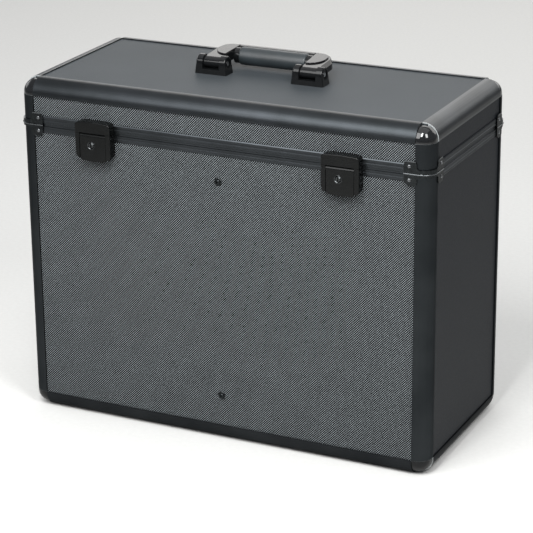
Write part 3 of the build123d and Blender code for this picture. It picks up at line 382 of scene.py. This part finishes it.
def finish_nodes():
    """Gives every CAD node its finish, and returns the foam for the pads."""
    top_dark, top_light, top_shine = "#303335", "#393c3f", 1.0
    # The corner and bottom edges get darker tones than the top edges and half the shine: painted
    # shade.
    painted_shade_corner_dark, painted_shade_corner_light = "#282b2d", "#303335"
    painted_shade_low_dark, painted_shade_low_light, painted_shade_shine = "#242628", "#2c2e30", 0.5
    bright_cut, dull_cut = "#c9cdce", "#7b7e80"
    sawn_edges = (
        ("lid_edges_short", 1, top_dark, top_light, top_shine, bright_cut),
        ("bottom_edges_short", 1, painted_shade_low_dark, painted_shade_low_light, painted_shade_shine, bright_cut),
        ("body_corner_edges", 2, painted_shade_corner_dark, painted_shade_corner_light, painted_shade_shine, dull_cut),
        ("lid_corner_edges", 2, painted_shade_corner_dark, painted_shade_corner_light, painted_shade_shine, dull_cut),
    )
    finishes = {
        "lid_edges_long": black_anodised_extrusion(
            "black_anodised_top_edges", 0, top_dark, top_light, top_shine
        ),
        "bottom_edges_long": black_anodised_extrusion(
            "black_anodised_bottom_edges", 0, painted_shade_low_dark, painted_shade_low_light, painted_shade_shine
        ),
        "lid_panel_top": sanded_laminate("sanded_laminate_top", "#2f3336", "#3a3e41", gloss=0.12),
        "lid_corner_caps": moulded_abs("polished_abs_corners", 0.06, 0.09, gloss=0.5),
        "bottom_corner_caps": moulded_abs("scuffed_abs_corners", 0.28, 0.42, gloss=0.2),
    }
    for node, run, dark, light, shine, cut in sawn_edges:
        low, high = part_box(node)
        ends = (low[run] / MM, high[run] / MM)
        name = f"black_anodised_{node}"
        finishes[node] = black_anodised_extrusion(name, run, dark, light, shine, ends, cut)
    rim_long = black_anodised_rim("black_anodised_rim_long", 0)
    rim_short = black_anodised_rim("black_anodised_rim_short", 1)
    rivet_nickel = nickel_plated_rivets("nickel_plated_rivets")
    bead_mm = 1.5
    for part in ("body", "lid"):
        finishes[f"{part}_rims_long"] = rim_long
        finishes[f"{part}_rims_short"] = rim_short
        finishes[f"{part}_bracket_rivets"] = rivet_nickel
        bead_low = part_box(f"{part}_rim_brackets")[1].z / MM - bead_mm
        name = f"blackened_steel_{part}_brackets"
        finishes[f"{part}_rim_brackets"] = blackened_steel(name, bead_low)
    chrome = black_chrome("black_chrome")
    for side in ("left", "right"):
        finishes[f"key_cylinder_{side}"] = chrome
    front_face = -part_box("body_panel_front")[0].y / MM
    # The sides get the top's laminate in much darker tones, which is painted shade.
    painted_shade_side_laminate = sanded_laminate("sanded_laminate_sides", "#111418", "#181b1f", gloss=0.12)
    by_slot = {
        "embossed_laminate": diamond_laminate("diamond_laminate", front_face),
        "smooth_laminate": painted_shade_side_laminate,
        "divider_board": sanded_laminate("divider_laminate", "#2d2f31", "#37393b", gloss=0.4),
        "gloss_black_plastic": moulded_abs("gloss_black_abs", 0.07, 0.11, gloss=0.22),
        "black_zinc": black_lacquered_zinc("black_lacquered_zinc"),
        "blackened_steel": blackened_steel("blackened_steel"),
        "bright_steel": plated_steel("plated_steel"),
        "grip_rubber": satin_rubber("satin_rubber"),
        "foam": open_cell_foam("open_cell_foam"),
    }
    for node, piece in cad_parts.items():
        slot = piece.data.materials[0].name.split(".")[0]
        finish = finishes.get(node) or by_slot[slot]
        piece.data.materials.clear()
        piece.data.materials.append(finish)
    return by_slot["foam"]


def placed(mesh, name, material, body):
    """Makes a finished bmesh a piece of the object."""
    data = bpy.data.meshes.new(name)
    mesh.to_mesh(data)
    mesh.free()
    data.materials.append(material)
    piece = bpy.data.objects.new(name, data)
    bpy.context.scene.collection.objects.link(piece)
    for face in data.polygons:
        face.use_smooth = True
    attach(piece, body)
    return piece


def foam_block(low, high):
    """A closed block between two corners, divided into short steps, ready to be shaped."""
    size = high - low
    counts = [max(2, round(length / FOAM_STEP)) for length in size]
    mesh = bmesh.new()
    bmesh.ops.create_cube(mesh, size=1.0)
    for axis, count in enumerate(counts):
        normal = Vector([1.0 if i == axis else 0.0 for i in range(3)])
        for cut in range(1, count):
            bmesh.ops.bisect_plane(
                mesh,
                geom=mesh.verts[:] + mesh.edges[:] + mesh.faces[:],
                plane_co=normal * (cut / count - 0.5),
                plane_no=normal,
            )
    to_place = Matrix.Translation((low + high) / 2) @ Matrix.Diagonal((*size, 1))
    bmesh.ops.transform(mesh, matrix=to_place, verts=mesh.verts)
    return mesh


def soften(mesh, low, high, round_by, crown, draw_in, crown_side):
    """Rounds a foam block's edges, crowns its open face and draws in its sides between corners."""
    side_power, edge_power = 5, 14
    middle = (low + high) / 2
    half = (high - low) / 2
    for vertex in mesh.verts:
        offset = [(vertex.co[i] - middle[i]) / half[i] for i in range(3)]
        waist = 1 - offset[2] ** 2
        for i in (0, 1):
            along = 1 - offset[1 - i] ** 2
            vertex.co[i] -= offset[i] ** side_power * draw_in * (along * waist)
        edge = max(abs(offset[0]) ** edge_power, abs(offset[1]) ** edge_power)
        if offset[2] * crown_side > 0:
            bulge = (1 - offset[0] ** 2) * (1 - offset[1] ** 2)
            sunk = crown * (1 - bulge ** 0.5) + round_by * edge
            vertex.co[2] -= offset[2] * sunk


def floor_pad(side, foam):
    """A foam pad on the floor of one compartment."""
    node = f"floor_pad_{side}"
    low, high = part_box(node)
    mesh = foam_block(low, high)
    soften(mesh, low, high, round_by=0.0025, crown=0.0015, draw_in=0.0012, crown_side=1)
    pad = placed(mesh, f"floor_foam_{side}", foam, "case")
    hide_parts(node)


def lid_pad(foam):
    """Egg-crate foam in the lid, flat against the top panel. Its waves die away at the sides."""
    low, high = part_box("lid_pad")
    egg_pitch, egg_depth = 0.032, 0.0075
    mesh = foam_block(low, high)
    thickness = high.z - low.z
    for vertex in mesh.verts:
        down = (high.z - vertex.co.z) / thickness
        turns = [2 * math.pi * vertex.co[i] / egg_pitch for i in (0, 1)]
        wave = math.cos(turns[0]) * math.cos(turns[1])
        from_side = min(high.x - abs(vertex.co.x), high.y - abs(vertex.co.y)) / (egg_pitch / 2)
        strength = min(1, max(0, from_side))
        vertex.co.z += down * egg_depth * (0.5 - 0.5 * wave * strength)
    soften(mesh, low, high, round_by=0.002, crown=0.0, draw_in=0.001, crown_side=-1)
    pad = placed(mesh, "lid_foam", foam, "lid")
    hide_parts("lid_pad")


def studio_floor():
    mesh = bmesh.new()
    bmesh.ops.create_grid(mesh, x_segments=8, y_segments=8, size=9.0)
    data = bpy.data.meshes.new("studio_floor")
    mesh.to_mesh(data)
    mesh.free()
    data.materials.append(studio_paper("studio_paper"))
    floor = bpy.data.objects.new("studio_floor", data)
    bpy.context.scene.collection.objects.link(floor)


def softbox(name, aim, azimuth, elevation, distance, width, height, radiance, tint):
    """A rectangular lamp facing a point. Azimuth 0 is straight in front, and grows to the right."""
    turn, rise = math.radians(azimuth), math.radians(elevation)
    level = math.cos(rise)
    outward = Vector((math.sin(turn) * level, -math.cos(turn) * level, math.sin(rise)))
    data = bpy.data.lights.new(name, "AREA")
    data.shape = "RECTANGLE"
    data.size, data.size_y = width, height
    data.energy = radiance * math.pi * width * height
    data.color = linear(tint)[:3]
    lamp = bpy.data.objects.new(name, data)
    bpy.context.scene.collection.objects.link(lamp)
    lamp.location = aim + outward * distance
    lamp.rotation_mode = "QUATERNION"
    lamp.rotation_quaternion = outward.to_track_quat("Z", "Y")


def studio_light():
    world = bpy.data.worlds.new("studio_room")
    bpy.context.scene.world = world
    world.use_nodes = True
    background = world.node_tree.nodes["Background"]
    background.inputs["Color"].default_value = linear("#f6f9ff")
    background.inputs["Strength"].default_value = 0.3
    middle = (cad_low + cad_high) / 2
    right_corner = Vector((cad_high.x, cad_low.y, cad_high.z))
    softboxes = (
        # name, aim, azimuth, elevation, distance, width, height, radiance, tint
        ("front_softbox", right_corner, -2, 48, 1.5, 0.32, 0.85, 30, "#ffffff"),
        ("right_softbox", right_corner, 49, 40, 1.5, 0.45, 0.8, 17.5, "#ffffff"),
        ("left_fill", right_corner, -28, 34, 1.5, 0.8, 1.15, 6.8, "#ffffff"),
        ("left_wall", middle, -100, 22, 2.6, 1.6, 1.1, 1.8, "#ffffff"),
        ("ceiling_scrim", middle, 0, 89, 2.2, 2.6, 2.6, 0.9, "#ffffff"),
        ("back_softbox", middle, 180, 29, 3.0, 4.6, 1.7, 2.2, "#fffdfa"),
    )
    for lamp in softboxes:
        softbox(*lamp)


def photo_camera():
    """The camera that the photograph was taken with, fitted to the case's corners and edges."""
    place = Vector((1.1000, -2.25746, 1.10458))
    target = Vector((0.0038, 0.0, 0.1838))
    roll = math.radians(-0.62)
    data = bpy.data.cameras.new("photo_camera")
    data.lens = 147.5
    data.sensor_width = 36.0
    data.clip_start, data.clip_end = 0.1, 50.0
    camera = bpy.data.objects.new("photo_camera", data)
    bpy.context.scene.collection.objects.link(camera)
    camera.location = place
    camera.rotation_mode = "QUATERNION"
    aimed = (target - place).to_track_quat("-Z", "Y")
    camera.rotation_quaternion = aimed @ Quaternion((0, 0, 1), roll)
    bpy.context.scene.camera = camera


photo_camera()
foam = finish_nodes()
floor_pad("left", foam)
floor_pad("right", foam)
lid_pad(foam)
studio_floor()
studio_light()
bpy.context.scene.view_settings.view_transform = "Standard"
